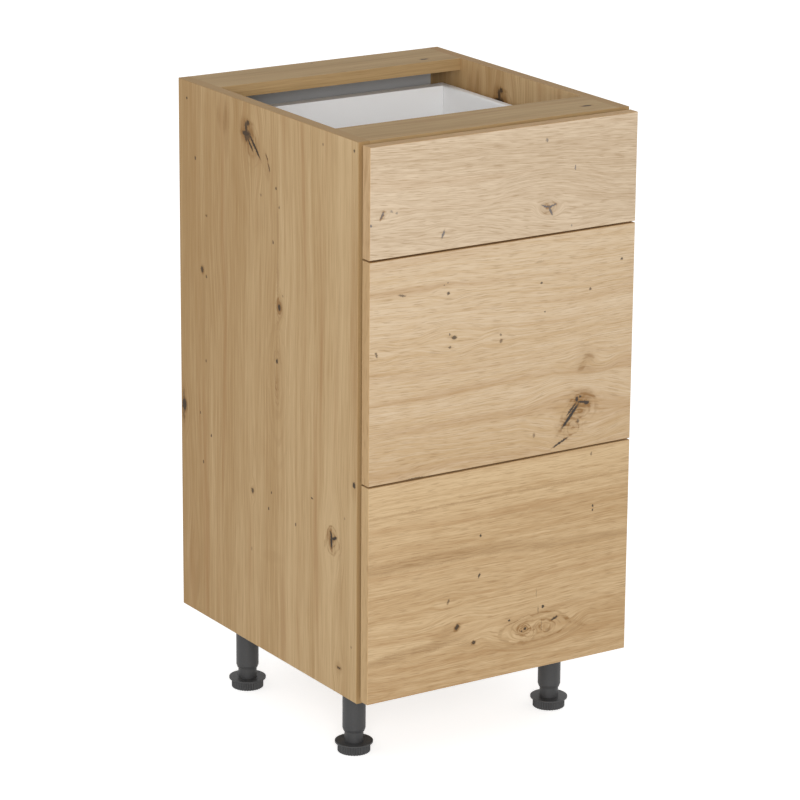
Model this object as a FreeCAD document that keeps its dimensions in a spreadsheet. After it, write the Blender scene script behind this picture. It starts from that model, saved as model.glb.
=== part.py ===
import FreeCAD, Part
import os
import re
import Sketcher

# Base cabinet with three drawers, in millimetres. The origin is on the floor, in the middle of the
# footprint. X runs along the front, Y runs to the back, Z up. The drawers open towards -Y.

Vector = FreeCAD.Vector
Rotation = FreeCAD.Rotation
Placement = FreeCAD.Placement

document = FreeCAD.newDocument("base_cabinet")

# ---------------------------------------------------------------------------------------------
# Driving dimensions
# ---------------------------------------------------------------------------------------------

SIZES = {
    # carcass of foil-faced board
    "cabinet_width": 400,
    "carcass_height": 720,
    "board_thickness": 16,
    "rail_width": 80,
    "back_thickness": 3,
    "back_inset": 5,
    "groove_depth": 6,
    "groove_play": 0.2,
    "edge_bevel": 0.5,
    # fronts and the slits round them
    "front_thickness": 16,
    "front_gap": 6,
    "side_reveal": 2.5,
    "top_reveal": 2.6,
    "bottom_reveal": 5,
    "slit_height": 2.4,
    "top_front_height": 140,
    # levelling legs
    "leg_height": 100,
    "leg_side_inset": 48,
    "leg_front_inset": 82,
    "leg_back_inset": 88,
    "leg_plate_width": 60,
    "leg_plate_thickness": 3.5,
    "leg_plate_corner": 8,
    "tube_radius": 15,
    "tube_end_radius": 13.6,
    "tube_end_chamfer": 4,
    "tube_lift": 28,
    "tube_bore": 12.7,
    "tube_roof": 8,
    "gusset_thickness": 2,
    "gusset_root": 2,
    "gusset_length": 12,
    "gusset_height": 14,
    "stem_radius": 12.3,
    "stem_top": 67,
    "dish_radius": 24.6,
    "dish_height": 14,
    "dish_rim": 2,
    "skirt_radius": 19.8,
    "grip_rib_height": 1.4,
    "grip_valley_height": 0.2,
    "grip_rib_root": 0.5,
    "grip_rib_count": 36,
    # steel runners and drawer sides
    "sheet_thickness": 1.2,
    "runner_front_inset": 2,
    "runner_overhang": 8,
    "runner_flange": 12.4,
    "runner_height": 18.8,
    "runner_roof_cut": 28,
    "roller_radius": 9,
    "roller_width": 7.5,
    "roller_face_inset": 3.6,
    "running_gap": 0.3,
    "axle_radius": 2.5,
    "axle_play": 0.06,
    "front_axle_inset": 12,
    "rear_axle_inset": 15,
    "side_length": 400,
    "side_lift": 18,
    "low_side_height": 86,
    "high_side_height": 150,
    "wall_inset": 15.5,
    "rim_inset": 3,
    "rim_lip": 8,
    "rim_bend": 3,
    "track_rise": 21.5,
    "base_flange": 16,
    "tab_width": 18,
    "tab_foot": 22,
    "tab_head_drop": 16,
    # white boards of the drawer boxes
    "box_board": 16,
    "box_play": 0.3,
    # push latches
    "latch_reach": 23,
    "latch_lift": 46,
    "latch_gap": 0.3,
    "latch_back_gap": 1.4,
    "latch_press": 4,
    "latch_press_play": 0.3,
    "latch_barrel_width": 14,
    "latch_barrel_length": 32,
    "latch_bore_radius": 4.3,
    "latch_bore_depth": 27,
    "latch_base_thickness": 3,
    "latch_base_height": 34,
    "latch_web_thickness": 6,
    "latch_web_inset": 2.4,
    "plunger_radius": 4,
    "plunger_length": 24,
}

# Places and sizes that follow from the driving dimensions.
PLACES = {
    "latch_front": "side_length - front_gap + latch_gap + latch_press + latch_press_play",
    "back_face": "latch_front + latch_barrel_length + latch_back_gap",
    "carcass_depth": "back_face + back_thickness + back_inset",
    "overall_depth": "front_thickness + front_gap + carcass_depth",
    "carcass_front": "front_thickness + front_gap - overall_depth / 2",
    "front_back_face": "front_thickness - overall_depth / 2",
    "inner_half_width": "cabinet_width / 2 - board_thickness",
    "lower_front_height": "(carcass_height - top_reveal - bottom_reveal - top_front_height"
                          " - 2 * slit_height) / 2",
    "front_level_bottom": "leg_height + bottom_reveal",
    "front_level_middle": "front_level_bottom + lower_front_height + slit_height",
    "front_level_top": "front_level_middle + lower_front_height + slit_height",
    "back_foot": "board_thickness - groove_depth",
    "back_head": "carcass_height - board_thickness + groove_depth",
    "leg_across": "cabinet_width / 2 - leg_side_inset",
    "grip_tip": "skirt_radius + grip_rib_height",
    "grip_valley": "skirt_radius + grip_valley_height",
    "grip_root": "skirt_radius - grip_rib_root",
    "grip_half_width": "grip_valley * sin(180 / grip_rib_count) * (grip_tip - grip_root)"
                       " / (grip_tip - grip_valley * cos(180 / grip_rib_count))",
    "runner_length": "side_length - front_gap - runner_front_inset + runner_overhang",
    "front_roller_rise": "track_rise - running_gap - roller_radius",
    "rear_roller_rise": "roller_radius + running_gap",
    "base_rise": "sheet_thickness + box_board",
    "box_half_width": "inner_half_width - wall_inset - box_play",
}


def formula(text):
    """Turns plain names into references to the two sheets, as an expression needs them."""
    def reference(match):
        name = match.group(0)
        if name in ("sin", "cos"):
            return name
        return ("Sizes." if name in SIZES else "Places.") + name
    return re.sub(r"[a-z][a-z_]+", reference, text)


def fill_sheet(name, cells):
    sheet = document.addObject("Spreadsheet::Sheet", name)
    for row, (alias, content) in enumerate(cells.items(), start=1):
        text = "=" + formula(content) if isinstance(content, str) else str(content)
        sheet.set(f"A{row}", alias)
        sheet.set(f"B{row}", text)
        sheet.setAlias(f"B{row}", alias)
    document.recompute()
    return sheet


fill_sheet("Sizes", SIZES)
fill_sheet("Places", PLACES)
sizes = document.getObject("Sizes")


def value(text):
    """The number that a formula of named dimensions comes to."""
    return float(sizes.evalExpression(formula(text)))


# ---------------------------------------------------------------------------------------------
# Ways of working: bodies, sketches, pads and cuts
# ---------------------------------------------------------------------------------------------

PLANE_SIGN = {"XY_Plane": 1, "XZ_Plane": -1, "YZ_Plane": 1}
nodes = []


def new_body(label, x="0", y="0", z="0", kept=True):
    """A body whose own frame stands at a place worked out from the sheet."""
    body = document.addObject("PartDesign::Body", label)
    body.Label = label
    for axis, place in zip("xyz", (x, y, z)):
        body.setExpression(f"Placement.Base.{axis}", formula(place))
    if kept:
        nodes.append(body)
    return body


def new_sketch(body, plane, offset="0"):
    sketch = body.newObject("Sketcher::SketchObject", body.Name + "_sketch")
    for feature in body.Origin.OriginFeatures:
        if feature.Role == plane:
            sketch.AttachmentSupport = [(feature, "")]
    sketch.MapMode = "FlatFace"
    if offset != "0":
        along = offset if PLANE_SIGN[plane] > 0 else f"-({offset})"
        sketch.setExpression("AttachmentOffset.Base.z", formula(along))
    return sketch


def bind(sketch, kind, edge, point, text):
    """Holds one coordinate of a sketch point at a formula."""
    if value(text) == 0 and kind != "Radius":
        other = {"DistanceX": -2, "DistanceY": -1}[kind]
        sketch.addConstraint(Sketcher.Constraint("PointOnObject", edge, point, other))
        return
    if kind == "Radius":
        index = sketch.addConstraint(Sketcher.Constraint(kind, edge, value(text)))
    else:
        index = sketch.addConstraint(Sketcher.Constraint(kind, edge, point, value(text)))
    sketch.setExpression(f"Constraints[{index}]", formula(text))


def outline(body, plane, corners, offset="0"):
    """A closed sketch of straight edges, each corner held by its two formulas."""
    sketch = new_sketch(body, plane, offset)
    points = [Vector(value(across), value(up), 0) for across, up in corners]
    count = len(points)
    for index in range(count):
        line = Part.LineSegment(points[index], points[(index + 1) % count])
        sketch.addGeometry(line, False)
    for index in range(count):
        sketch.addConstraint(Sketcher.Constraint("Coincident", index, 2, (index + 1) % count, 1))
    for index, (across, up) in enumerate(corners):
        bind(sketch, "DistanceX", index, 1, across)
        bind(sketch, "DistanceY", index, 1, up)
    return sketch


def rectangle(body, plane, low, high, offset="0"):
    """A rectangle between two opposite corners."""
    corners = [low, (high[0], low[1]), high, (low[0], high[1])]
    return outline(body, plane, corners, offset)


def circles(body, plane, centres, radius, offset="0"):
    """Circles of one radius round centres held by formulas."""
    sketch = new_sketch(body, plane, offset)
    for index, (across, up) in enumerate(centres):
        centre = Vector(value(across), value(up), 0)
        sketch.addGeometry(Part.Circle(centre, Vector(0, 0, 1), value(radius)), False)
        bind(sketch, "DistanceX", index, 3, across)
        bind(sketch, "DistanceY", index, 3, up)
        bind(sketch, "Radius", index, 0, radius)
    return sketch


def plane_of(sketch):
    return sketch.AttachmentSupport[0][0].Role


def pad(body, sketch, length, toward=1, midplane=False):
    """Adds material from the sketch along +1 or -1 of the axis square to it."""
    feature = body.newObject("PartDesign::Pad", body.Name + "_pad")
    feature.Profile = sketch
    feature.setExpression("Length", formula(length))
    feature.Midplane = midplane
    feature.Reversed = toward != PLANE_SIGN[plane_of(sketch)]
    document.recompute()
    return feature


def cut(body, sketch, depth, toward=1, midplane=False):
    """Removes material from the sketch along +1 or -1 of the axis square to it."""
    before = body.Shape.Volume
    feature = body.newObject("PartDesign::Pocket", body.Name + "_cut")
    feature.Profile = sketch
    feature.setExpression("Length", formula(depth))
    feature.Midplane = midplane
    feature.Reversed = toward == PLANE_SIGN[plane_of(sketch)]
    document.recompute()
    if not body.Shape.Volume < before:
        raise RuntimeError(f"{body.Label}: a cut removes nothing")
    return feature


def turn(body, sketch, axis):
    """Turns a half profile round the sketch's own horizontal or vertical axis."""
    feature = body.newObject("PartDesign::Revolution", body.Name + "_turned")
    feature.Profile = sketch
    feature.ReferenceAxis = (sketch, [axis])
    feature.Angle = 360
    document.recompute()
    return feature


def repeat_round(body, feature, count):
    """Copies a feature round the body's upright axis."""
    pattern = body.newObject("PartDesign::PolarPattern", body.Name + "_pattern")
    pattern.Originals = [feature]
    for datum in body.Origin.OriginFeatures:
        if datum.Role == "Z_Axis":
            pattern.Axis = (datum, [""])
    pattern.Angle = 360
    if isinstance(count, str):
        pattern.setExpression("Occurrences", formula(count))
    else:
        pattern.Occurrences = count
    body.Tip = pattern
    document.recompute()
    return pattern


def edges_where(body, test):
    """Names of the straight edges of the body's shape whose two ends pass a test."""
    inverse = body.Placement.inverse()
    names = []
    for index, edge in enumerate(body.Shape.Edges, start=1):
        if len(edge.Vertexes) == 2 and isinstance(edge.Curve, Part.Line):
            ends = [inverse.multVec(vertex.Point) for vertex in edge.Vertexes]
            if test(*ends):
                names.append(f"Edge{index}")
    return names


def work_edges(body, kind, measure, test, size):
    """Puts a fillet or a chamfer on the edges that pass a test."""
    names = edges_where(body, test)
    if not names:
        raise RuntimeError(f"{body.Label}: no edge to work")
    base = body.Tip
    feature = body.newObject(f"PartDesign::{kind}", f"{body.Name}_{kind.lower()}")
    feature.Base = (base, names)
    feature.setExpression(measure, formula(size))
    document.recompute()
    return feature


def round_edges(body, test, radius):
    return work_edges(body, "Fillet", "Radius", test, radius)


def bevel_edges(body, test, size="edge_bevel"):
    """Breaks edges, by default as far as the edge band of a board."""
    return work_edges(body, "Chamfer", "Size", test, size)


def close(one, other, slack=1e-4):
    return abs(one - other) < slack


def round_corners(body, corners, radius):
    """Rounds the bends of a section drawn on the XZ plane, found by their place in it."""
    wanted = [(value(across), value(up)) for across, up in corners]

    def at_corner(start, end):
        same = close(start.x, end.x) and close(start.z, end.z)
        return same and any(close(start.x, x) and close(start.z, z) for x, z in wanted)

    return round_edges(body, at_corner, radius)


def copies(label, master, places):
    """One node of separate, equal solids: the master's shape at each place."""
    node = document.addObject("Part::Feature", label)
    node.Label = label
    solids = []
    for place in places:
        solid = master.Shape.copy()
        solid.Placement = place.multiply(solid.Placement)
        solids.append(solid)
    node.Shape = Part.makeCompound(solids)
    nodes.append(node)
    return node


def place_at(x, y, z):
    return Placement(Vector(value(x), value(y), value(z)), Rotation())


def signed(hand, text):
    """A formula mirrored for the right-hand piece of a pair."""
    return text if hand > 0 else f"-({text})"


LEVELS = {
    "top": ("front_level_top", "top_front_height", "low_side_height"),
    "middle": ("front_level_middle", "lower_front_height", "high_side_height"),
    "bottom": ("front_level_bottom", "lower_front_height", "high_side_height"),
}
HANDS = {"left": 1, "right": -1}

# ---------------------------------------------------------------------------------------------
# Carcass
# ---------------------------------------------------------------------------------------------

LEG_PLACES = {
    "front": "carcass_front + leg_front_inset",
    "back": "carcass_front + carcass_depth - leg_back_inset",
}


def side_panel(label, hand):
    """An upright side of foil board with the groove of the back inside."""
    body = new_body(label, signed(-hand, "cabinet_width / 2"), "carcass_front", "leg_height")
    pad(body, rectangle(body, "YZ_Plane", ("0", "0"), ("carcass_depth", "carcass_height")),
        "board_thickness", hand)
    bevel_edges(body, lambda start, end: close(start.x, 0) and close(end.x, 0))
    cut(body, rectangle(body, "YZ_Plane", ("back_face - groove_play", "0"),
                        ("back_face + back_thickness + groove_play", "back_head + groove_play"),
                        signed(hand, "board_thickness")), "groove_depth + groove_play", -hand)
    return body


def bottom_panel():
    """The floor of the carcass, level with the lower ends of the sides."""
    body = new_body("bottom_panel", "0", "carcass_front", "leg_height")
    pad(body, rectangle(body, "XY_Plane", ("-inner_half_width", "0"), ("inner_half_width", "carcass_depth")),
        "board_thickness")
    cut(body, rectangle(body, "XY_Plane", ("-inner_half_width", "back_face - groove_play"),
                        ("inner_half_width", "back_face + back_thickness + groove_play"),
                        "board_thickness"), "groove_depth + groove_play", -1)
    return body


def top_rail(label, front, grooved):
    """A flat rail between the sides; the worktop lies on it."""
    body = new_body(label, "0", "carcass_front", "leg_height + carcass_height - board_thickness")
    pad(body, rectangle(body, "XY_Plane", ("-inner_half_width", front),
                        ("inner_half_width", f"{front} + rail_width")), "board_thickness")

    def along_top(start, end):
        return close(start.z, value("board_thickness")) and close(start.y, end.y) and close(start.z, end.z)

    bevel_edges(body, along_top)
    if grooved:
        cut(body, rectangle(body, "XY_Plane", ("-inner_half_width", "back_face - groove_play"),
                            ("inner_half_width", "back_face + back_thickness + groove_play")),
            "groove_depth + groove_play", 1)
    return body


def back_panel():
    """Thin hardboard let into grooves on all four sides."""
    body = new_body("back_panel", "0", "carcass_front + back_face", "leg_height")
    reach = "inner_half_width + groove_depth"
    pad(body, rectangle(body, "XZ_Plane", (f"-({reach})", "back_foot"), (reach, "back_head")),
        "back_thickness", 1)
    return body


side_panel("side_panel_left", 1)
side_panel("side_panel_right", -1)
bottom_panel()
top_rail("top_rail_front", "0", False)
top_rail("top_rail_rear", "carcass_depth - rail_width", True)
back_panel()

# ---------------------------------------------------------------------------------------------
# Levelling legs
# ---------------------------------------------------------------------------------------------


def leg_master():
    """One moulding: a plate, the tube that takes the stem, and four gussets between them."""
    body = new_body("leg_master", kept=False)
    half = "leg_plate_width / 2"
    pad(body, rectangle(body, "XY_Plane", (f"-{half}", f"-{half}"), (half, half)),
        "leg_plate_thickness", -1)
    bevel_edges(body, lambda start, end: close(start.x, end.x) and close(start.y, end.y),
                "leg_plate_corner")
    end = "leg_height - tube_lift"
    turn(body, outline(body, "XZ_Plane", [
        ("0", "0"), ("tube_radius", "0"), ("tube_radius", f"tube_end_chamfer - ({end})"),
        ("tube_end_radius", f"-({end})"),
        ("tube_bore", f"-({end})"), ("tube_bore", "-tube_roof"), ("0", "-tube_roof")]), "V_Axis")
    corner = "tube_radius - gusset_root"
    tip = "tube_radius + gusset_length"
    gusset = pad(body, outline(body, "XZ_Plane", [
        (corner, "-leg_plate_thickness / 2"), (tip, "-leg_plate_thickness / 2"),
        (tip, "-leg_plate_thickness"), (corner, "-leg_plate_thickness - gusset_height")]),
        "gusset_thickness", 1, midplane=True)
    repeat_round(body, gusset, 4)
    return body


def foot(label, across, along):
    """One moulding: the stem, and a dish with a ribbed skirt that is turned by hand to level."""
    body = new_body(label, across, along, "0")
    rim_foot = "dish_height - dish_rim"
    turn(body, outline(body, "XZ_Plane", [
        ("0", "0"), ("skirt_radius", "0"), ("skirt_radius", rim_foot), ("dish_radius", rim_foot),
        ("dish_radius", "dish_height"), ("stem_radius", "dish_height"),
        ("stem_radius", "stem_top"), ("0", "stem_top")]), "V_Axis")
    rib = pad(body, outline(body, "XY_Plane", [
        ("grip_root", "-grip_half_width"), ("grip_tip", "0"), ("grip_root", "grip_half_width")]),
        rim_foot, 1)
    repeat_round(body, rib, "grip_rib_count")
    return body


leg = leg_master()
leg_places = []
for row, along in LEG_PLACES.items():
    for hand_name, hand in HANDS.items():
        across = signed(-hand, "leg_across")
        foot(f"foot_{row}_{hand_name}", across, along)
        leg_places.append(place_at(across, along, "leg_height"))
copies("legs", leg, leg_places)

# ---------------------------------------------------------------------------------------------
# Runners on the cabinet sides
# ---------------------------------------------------------------------------------------------


def axle(body, toward, root, length, y, z):
    """A pin riveted into a steel sheet; the roller turns on it."""
    pad(body, circles(body, "YZ_Plane", [(y, z)], "axle_radius", root), length, toward)


def cabinet_runner(label, hand, level):
    """A folded steel C channel with the front roller's pin riveted to its web."""
    body = new_body(label, signed(-hand, "inner_half_width"),
                    "carcass_front + runner_front_inset", f"{level} + side_lift")

    def at(inset, rise):
        return (signed(hand, inset), rise)

    roof = "runner_height + sheet_thickness"
    section = [at("0", "-sheet_thickness"), at("runner_flange", "-sheet_thickness"),
               at("runner_flange", "0"), at("sheet_thickness", "0"),
               at("sheet_thickness", "runner_height"), at("runner_flange", "runner_height"),
               at("runner_flange", roof), at("0", roof)]
    pad(body, outline(body, "XZ_Plane", section), "runner_length", 1)
    cut(body, rectangle(body, "XY_Plane", at("sheet_thickness", "0"),
                        at("runner_flange + sheet_thickness", "runner_roof_cut"), "runner_height"),
        "2 * sheet_thickness", 1)
    axle(body, hand, signed(hand, "sheet_thickness / 2"),
         "roller_face_inset + roller_width + running_gap - sheet_thickness / 2",
         "front_axle_inset", "front_roller_rise")
    return body


def roller_master():
    """A nylon roller: a plain tread round a bore."""
    body = new_body("roller_master", kept=False)
    pad(body, circles(body, "YZ_Plane", [("0", "0")], "roller_radius"), "roller_width", 1, midplane=True)
    cut(body, circles(body, "YZ_Plane", [("0", "0")], "axle_radius + axle_play"),
        "roller_width", 1, midplane=True)
    return body


roller = roller_master()


def roller_pair(label, along, rise):
    """The two rollers of one axis line, left and right, which always turn together."""
    across = "inner_half_width - roller_face_inset - roller_width / 2"
    copies(label, roller, [place_at(signed(-hand, across), along, rise) for hand in HANDS.values()])


for level_name, (level, _, _) in LEVELS.items():
    for hand_name, hand in HANDS.items():
        cabinet_runner(f"cabinet_runner_{hand_name}_{level_name}", hand, level)
    roller_pair(f"cabinet_rollers_{level_name}",
                "carcass_front + runner_front_inset + front_axle_inset",
                f"{level} + side_lift + front_roller_rise")

# ---------------------------------------------------------------------------------------------
# Push latches
# ---------------------------------------------------------------------------------------------


def latch_housing_master():
    """A square barrel, bored for the plunger, on a bracket that lies against the cabinet side."""
    body = new_body("latch_housing_master", kept=False)
    half = "latch_base_height / 2"
    pad(body, rectangle(body, "YZ_Plane", ("0", f"-{half}"), ("latch_barrel_length", half)),
        "latch_base_thickness", 1)
    pad(body, rectangle(body, "XY_Plane", ("latch_base_thickness / 2", "latch_web_inset"),
                        ("latch_reach", "latch_barrel_length - latch_web_inset")),
        "latch_web_thickness", 1, midplane=True)
    side = "latch_barrel_width / 2"
    pad(body, rectangle(body, "XZ_Plane", (f"latch_reach - {side}", f"-{side}"),
                        (f"latch_reach + {side}", side)), "latch_barrel_length", 1)
    cut(body, circles(body, "XZ_Plane", [("latch_reach", "0")], "latch_bore_radius"),
        "latch_bore_depth", 1)
    return body


def plunger(label, x, y, z):
    """The sprung plunger that the closed drawer leans on."""
    body = new_body(label, x, y, z)
    pad(body, circles(body, "XZ_Plane", [("latch_reach", "0")], "plunger_radius",
                      "-(latch_press + latch_press_play)"), "plunger_length", 1)
    return body


latch_housing = latch_housing_master()
latch_places = []
for level_name, (level, _, _) in LEVELS.items():
    place = ("-inner_half_width", "carcass_front + latch_front", f"{level} + side_lift + latch_lift")
    plunger(f"push_latch_plunger_{level_name}", *place)
    latch_places.append(place_at(*place))
copies("push_latch_housings", latch_housing, latch_places)

# ---------------------------------------------------------------------------------------------
# Drawers
# ---------------------------------------------------------------------------------------------


def drawer_front(label, level, height):
    """The decor board in front of a drawer, fixed to the tabs of its sides."""
    body = new_body(label, "0", "front_back_face", level)
    half = "(cabinet_width / 2 - side_reveal)"
    pad(body, rectangle(body, "XZ_Plane", (f"-{half}", "0"), (half, height)), "front_thickness", -1)

    def on_face(start, end):
        face = -value("front_thickness")
        return close(start.y, face) and close(end.y, face)

    bevel_edges(body, on_face)
    return body


def drawer_side(label, hand, level, height):
    """Folded steel side: rim, wall, roller track and base flange, with a tab at each end."""
    body = new_body(label, signed(-hand, "inner_half_width"), "front_back_face", f"{level} + side_lift")

    def at(inset, rise):
        return (signed(hand, inset), rise)

    outer = "wall_inset - sheet_thickness"
    under_rim = f"{height} - sheet_thickness"
    section = [at("wall_inset + base_flange", "0"), at(outer, "0"), at(outer, "track_rise"),
               at("rim_inset", "track_rise"), at("rim_inset", "track_rise + sheet_thickness"),
               at(outer, "track_rise + sheet_thickness"), at(outer, under_rim),
               at("rim_inset + sheet_thickness", under_rim),
               at("rim_inset + sheet_thickness", f"{height} - rim_lip"),
               at("rim_inset", f"{height} - rim_lip"), at("rim_inset", height),
               at("wall_inset", height), at("wall_inset", "sheet_thickness"),
               at("wall_inset + base_flange", "sheet_thickness")]
    pad(body, outline(body, "XZ_Plane", section), "side_length", 1)
    round_corners(body, [section[10], section[11]], "rim_bend")
    tab_low = at(f"{outer} + sheet_thickness / 2", "tab_foot")
    tab_high = at("wall_inset + tab_width", f"{height} - tab_head_drop")
    pad(body, rectangle(body, "XZ_Plane", tab_low, tab_high), "sheet_thickness", 1)
    pad(body, rectangle(body, "XZ_Plane", tab_low, tab_high, "side_length"), "sheet_thickness", -1)
    root = "wall_inset - sheet_thickness / 2"
    axle(body, -hand, signed(hand, root), f"{root} - roller_face_inset + running_gap",
         "side_length - rear_axle_inset", "rear_roller_rise")
    return body


def drawer_base(label, level):
    """The white floor of the box, lying on the two base flanges."""
    body = new_body(label, "0", "front_back_face", f"{level} + side_lift + sheet_thickness")
    pad(body, rectangle(body, "XY_Plane", ("-box_half_width", "0"),
                        ("box_half_width", "side_length - sheet_thickness")), "box_board")
    return body


def drawer_back(label, level, height):
    """The white back of the box, standing on its floor against the rear tabs."""
    body = new_body(label, "0", "front_back_face + side_length - sheet_thickness",
                    f"{level} + side_lift")
    pad(body, rectangle(body, "XZ_Plane", ("-box_half_width", "base_rise"), ("box_half_width", height)),
        "box_board", -1)
    return body


for level_name, (level, front_height, side_height) in LEVELS.items():
    drawer = f"drawer_{level_name}"
    drawer_front(f"{drawer}_front", level, front_height)
    drawer_base(f"{drawer}_base", level)
    drawer_back(f"{drawer}_back", level, side_height)
    for hand_name, hand in HANDS.items():
        drawer_side(f"{drawer}_side_{hand_name}", hand, level, side_height)
    roller_pair(f"{drawer}_rollers", "front_back_face + side_length - rear_axle_inset",
                f"{level} + side_lift + rear_roller_rise")

# ---------------------------------------------------------------------------------------------
# Proof and output
# ---------------------------------------------------------------------------------------------

document.recompute()
for item in document.Objects:
    if {"Invalid", "Error"} & set(item.State):
        raise RuntimeError(f"{item.Label} failed: {item.State}")
for node in nodes:
    if node.Shape.isNull() or not node.Shape.isValid():
        raise RuntimeError(f"{node.Label} has no valid shape")

os.makedirs("parts", exist_ok=True)
for node in nodes:
    node.Shape.exportStep(f"parts/{node.Label}.step")
print(f"{len(nodes)} nodes written")
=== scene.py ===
import math

import bpy
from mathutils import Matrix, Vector


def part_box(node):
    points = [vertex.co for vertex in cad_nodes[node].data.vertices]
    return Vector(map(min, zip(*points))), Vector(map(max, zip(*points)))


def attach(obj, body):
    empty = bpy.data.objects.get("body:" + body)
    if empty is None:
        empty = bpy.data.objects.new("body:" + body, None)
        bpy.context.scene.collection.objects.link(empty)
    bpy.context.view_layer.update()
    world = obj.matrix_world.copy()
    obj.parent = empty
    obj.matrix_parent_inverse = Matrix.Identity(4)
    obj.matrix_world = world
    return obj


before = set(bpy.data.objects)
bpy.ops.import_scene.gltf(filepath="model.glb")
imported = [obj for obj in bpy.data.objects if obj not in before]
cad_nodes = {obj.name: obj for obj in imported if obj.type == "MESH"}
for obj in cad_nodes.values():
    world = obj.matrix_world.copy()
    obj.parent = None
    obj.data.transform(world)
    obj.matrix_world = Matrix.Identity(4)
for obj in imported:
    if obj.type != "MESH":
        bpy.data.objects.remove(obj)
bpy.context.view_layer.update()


# ---- Side panels ---------------------------------------------------------------------------
# Two upright 16 mm chipboard panels in a knotty-oak decor, the grain running up. Both are cut
# from the same print, so the knots of the left outer face come again on the right inner one.
# Their edges carry a band of the same decor with its own grain, tinted a little darker and cooler all round
# as painted shade.
def wire(tree, value, socket):
    """Links an output to a socket, or sets the socket to a plain value."""
    if isinstance(value, bpy.types.NodeSocket):
        tree.links.new(value, socket)
    else:
        socket.default_value = value


def step(tree, kind, *values, **given):
    """Adds a node and returns its first output. Values fill its sockets in order; of the given
    names, those with a capital are sockets and the others are settings."""
    node = tree.nodes.new(kind)
    for name, value in given.items():
        if not name[0].isupper():
            setattr(node, name, value)
    for name, value in given.items():
        if name[0].isupper():
            wire(tree, value, node.inputs[name])
    for socket, value in zip(node.inputs, values):
        wire(tree, value, socket)
    return node.outputs[0]


def reckon(tree, operation, *values):
    return step(tree, "ShaderNodeMath", *values, operation=operation)


def fade(tree, value, start, end, first, last):
    """A soft change from first to last while the value goes from start to end."""
    return step(tree, "ShaderNodeMapRange", value, start, end, first, last, interpolation_type="SMOOTHSTEP")


def grain_noise(tree, place, along, across, detail, roughness=0.5):
    """A noise with so many waves per metre along the grain and across it."""
    stretched = step(tree, "ShaderNodeVectorMath", place, (along, across, 1.0), operation="MULTIPLY")
    return step(tree, "ShaderNodeTexNoise", Vector=stretched, Scale=1.0, Detail=detail, Roughness=roughness)


def scattered(tree, place, scale, detail, reach):
    """A point pushed about by a noise, so that an outline drawn round it comes out uneven."""
    noise = tree.nodes.new("ShaderNodeTexNoise")
    tree.links.new(place, noise.inputs["Vector"])
    noise.inputs["Scale"].default_value = scale
    noise.inputs["Detail"].default_value = detail
    push = step(tree, "ShaderNodeVectorMath", noise.outputs["Color"], (0.5, 0.5, 0.5), operation="SUBTRACT")
    return step(tree, "ShaderNodeVectorMath", push, (reach, reach, 0.0), place, operation="MULTIPLY_ADD")


def tint(tree, factor, first, second, blend="MIX"):
    node = tree.nodes.new("ShaderNodeMix")
    node.data_type = "RGBA"
    node.blend_type = blend
    wire(tree, factor, node.inputs[0])
    wire(tree, first, node.inputs[6])
    wire(tree, second, node.inputs[7])
    return node.outputs[2]


def either(tree, factor, first, second):
    node = tree.nodes.new("ShaderNodeMix")
    node.data_type = "VECTOR"
    wire(tree, factor, node.inputs[0])
    wire(tree, first, node.inputs[4])
    wire(tree, second, node.inputs[5])
    return node.outputs[1]


def dot(tree, first, second):
    node = tree.nodes.new("ShaderNodeVectorMath")
    node.operation = "DOT_PRODUCT"
    wire(tree, first, node.inputs[0])
    wire(tree, second, node.inputs[1])
    return node.outputs["Value"]


def board_place(tree, along, across, thick, shift):
    """Where a point lies on its own face, along the grain and across it, and whether it is on an edge.
    The two kinds of edges lie far off in the same print, so they get their own run of grain."""
    long_edge_away, end_edge_away, edge_tilt = 1.7, 2.9, 0.6
    coordinates = tree.nodes.new("ShaderNodeTexCoord")
    place = tree.nodes.new("ShaderNodeSeparateXYZ")
    tree.links.new(coordinates.outputs["Object"], place.inputs[0])
    facing = tree.nodes.new("ShaderNodeSeparateXYZ")
    tree.links.new(coordinates.outputs["Normal"], facing.inputs[0])
    on_face = step(tree, "ShaderNodeCombineXYZ", place.outputs[along], place.outputs[across], shift)
    edge_depth = reckon(tree, "ADD", place.outputs[thick], long_edge_away)
    end_depth = reckon(tree, "ADD", place.outputs[thick], end_edge_away)
    on_long_edge = step(tree, "ShaderNodeCombineXYZ", place.outputs[along], edge_depth, shift)
    on_end_edge = step(tree, "ShaderNodeCombineXYZ", place.outputs[across], end_depth, shift)
    long_edge = reckon(tree, "GREATER_THAN", reckon(tree, "ABSOLUTE", facing.outputs[across]), edge_tilt)
    end_edge = reckon(tree, "GREATER_THAN", reckon(tree, "ABSOLUTE", facing.outputs[along]), edge_tilt)
    found = either(tree, end_edge, either(tree, long_edge, on_face, on_long_edge), on_end_edge)
    return found, reckon(tree, "MAXIMUM", long_edge, end_edge)


def ellipse(tree, place, along, across, length, width, turn):
    """How far out a point lies from the middle of an ellipse, squared: 1 on its edge."""
    cosine, sine = math.cos(math.radians(turn)), math.sin(math.radians(turn))
    away = step(tree, "ShaderNodeVectorMath", place, (along, across, 0.0), operation="SUBTRACT")
    lengthwise = dot(tree, away, (cosine / length, sine / length, 0.0))
    sideways = dot(tree, away, (-sine / width, cosine / width, 0.0))
    return reckon(tree, "MULTIPLY_ADD", lengthwise, lengthwise, reckon(tree, "MULTIPLY", sideways, sideways))


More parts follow.
